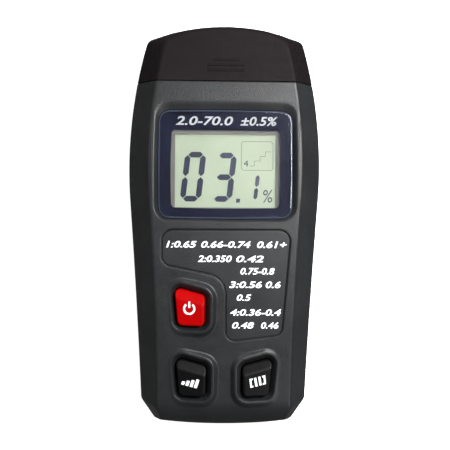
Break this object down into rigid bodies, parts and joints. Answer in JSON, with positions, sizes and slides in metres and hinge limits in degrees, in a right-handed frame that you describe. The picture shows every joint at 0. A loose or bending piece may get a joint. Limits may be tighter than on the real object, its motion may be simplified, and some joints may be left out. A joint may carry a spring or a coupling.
{
  "type": "moisture meter",
  "caption": "Hand-held two-pin timber moisture meter with a waisted case, digital display, keys, pull-off pin cap and battery door.",
  "frame": {"origin": "centre of the flat back, under the middle of the case", "axes": "+X to the meter's right, +Y toward the pins, +Z out of the display"},
  "size_m": [0.0666, 0.138, 0.0313],
  "materials": {
    "case_plastic": "fine textured ABS, charcoal grey",
    "cap_plastic": "smooth near-black ABS",
    "key_red": "glossy red key cap",
    "key_black": "semi-gloss black key cap",
    "lens_acrylic": "printed acrylic window, dark border",
    "tape_black": "double-sided adhesive tape",
    "lcd_glass": "reflective display glass",
    "lcd_foil": "satin reflector foil",
    "frame_white": "moulded white display frame",
    "zebra_rubber": "layered elastomer connector",
    "board_green": "glass-epoxy board with green solder mask",
    "chip_black": "moulded epoxy package",
    "can_metal": "drawn metal can",
    "trimmer_blue": "moulded trimmer",
    "switch_metal": "tinned switch cover",
    "plunger_black": "switch plunger",
    "probe_plastic": "insulating probe block",
    "brass": "turned brass",
    "pin_steel": "hardened plated steel",
    "screw_steel": "zinc plated steel",
    "wire_red": "insulated hook-up wire",
    "wire_black": "insulated hook-up wire",
    "wire_yellow": "insulated hook-up wire",
    "battery_jacket": "printed steel battery jacket",
    "terminal_metal": "nickel plated terminals",
    "foam": "closed-cell foam"
  },
  "bodies": {
    "case": {"front_case": "case_plastic", "rear_case": "case_plastic", "battery_pad": "foam", "display_lens": "lens_acrylic", "lens_tape": "tape_black", "power_switch": "switch_metal", "mode_switch": "switch_metal", "hold_switch": "switch_metal", "lcd_panel": "lcd_glass", "lcd_reflector": "lcd_foil", "lcd_frame": "frame_white", "zebra_strips": "zebra_rubber", "main_board": "board_green", "controller_chip": "chip_black", "amplifier_chip": "chip_black", "capacitors": "can_metal", "crystal": "can_metal", "trimmer": "trimmer_blue", "resistors": "chip_black", "probe_head": "probe_plastic", "pin_left": "pin_steel", "pin_right": "pin_steel", "socket_left": "brass", "socket_right": "brass", "electrode_lead_left": "wire_yellow", "electrode_lead_right": "wire_yellow", "battery": "battery_jacket", "battery_terminals": "terminal_metal", "battery_snap": "chip_black", "snap_contacts": "terminal_metal", "battery_lead_red": "wire_red", "battery_lead_black": "wire_black", "case_screws": "screw_steel", "board_screws": "screw_steel"},
    "cap": {"protective_cap": "cap_plastic"},
    "door": {"battery_door": "case_plastic"},
    "power_button": {"power_key": "key_red", "power_plunger": "plunger_black"},
    "mode_button": {"mode_key": "key_black", "mode_plunger": "plunger_black"},
    "hold_button": {"hold_key": "key_black", "hold_plunger": "plunger_black"}
  },
  "joints": [
    {"name": "cap_pull", "type": "slide", "parent": "case", "child": "cap", "axis": [0, 1, 0], "range_m": [0, 0.04]},
    {"name": "door_slide", "type": "slide", "parent": "case", "child": "door", "axis": [0, -1, 0], "range_m": [0, 0.065]},
    {"name": "power_press", "type": "slide", "parent": "case", "child": "power_button", "axis": [0, 0, -1], "range_m": [0, 0.00035], "stiffness_N_per_m": 3000},
    {"name": "mode_press", "type": "slide", "parent": "case", "child": "mode_button", "axis": [0, 0, -1], "range_m": [0, 0.00035], "stiffness_N_per_m": 3000},
    {"name": "hold_press", "type": "slide", "parent": "case", "child": "hold_button", "axis": [0, 0, -1], "range_m": [0, 0.00035], "stiffness_N_per_m": 3000}
  ]
}
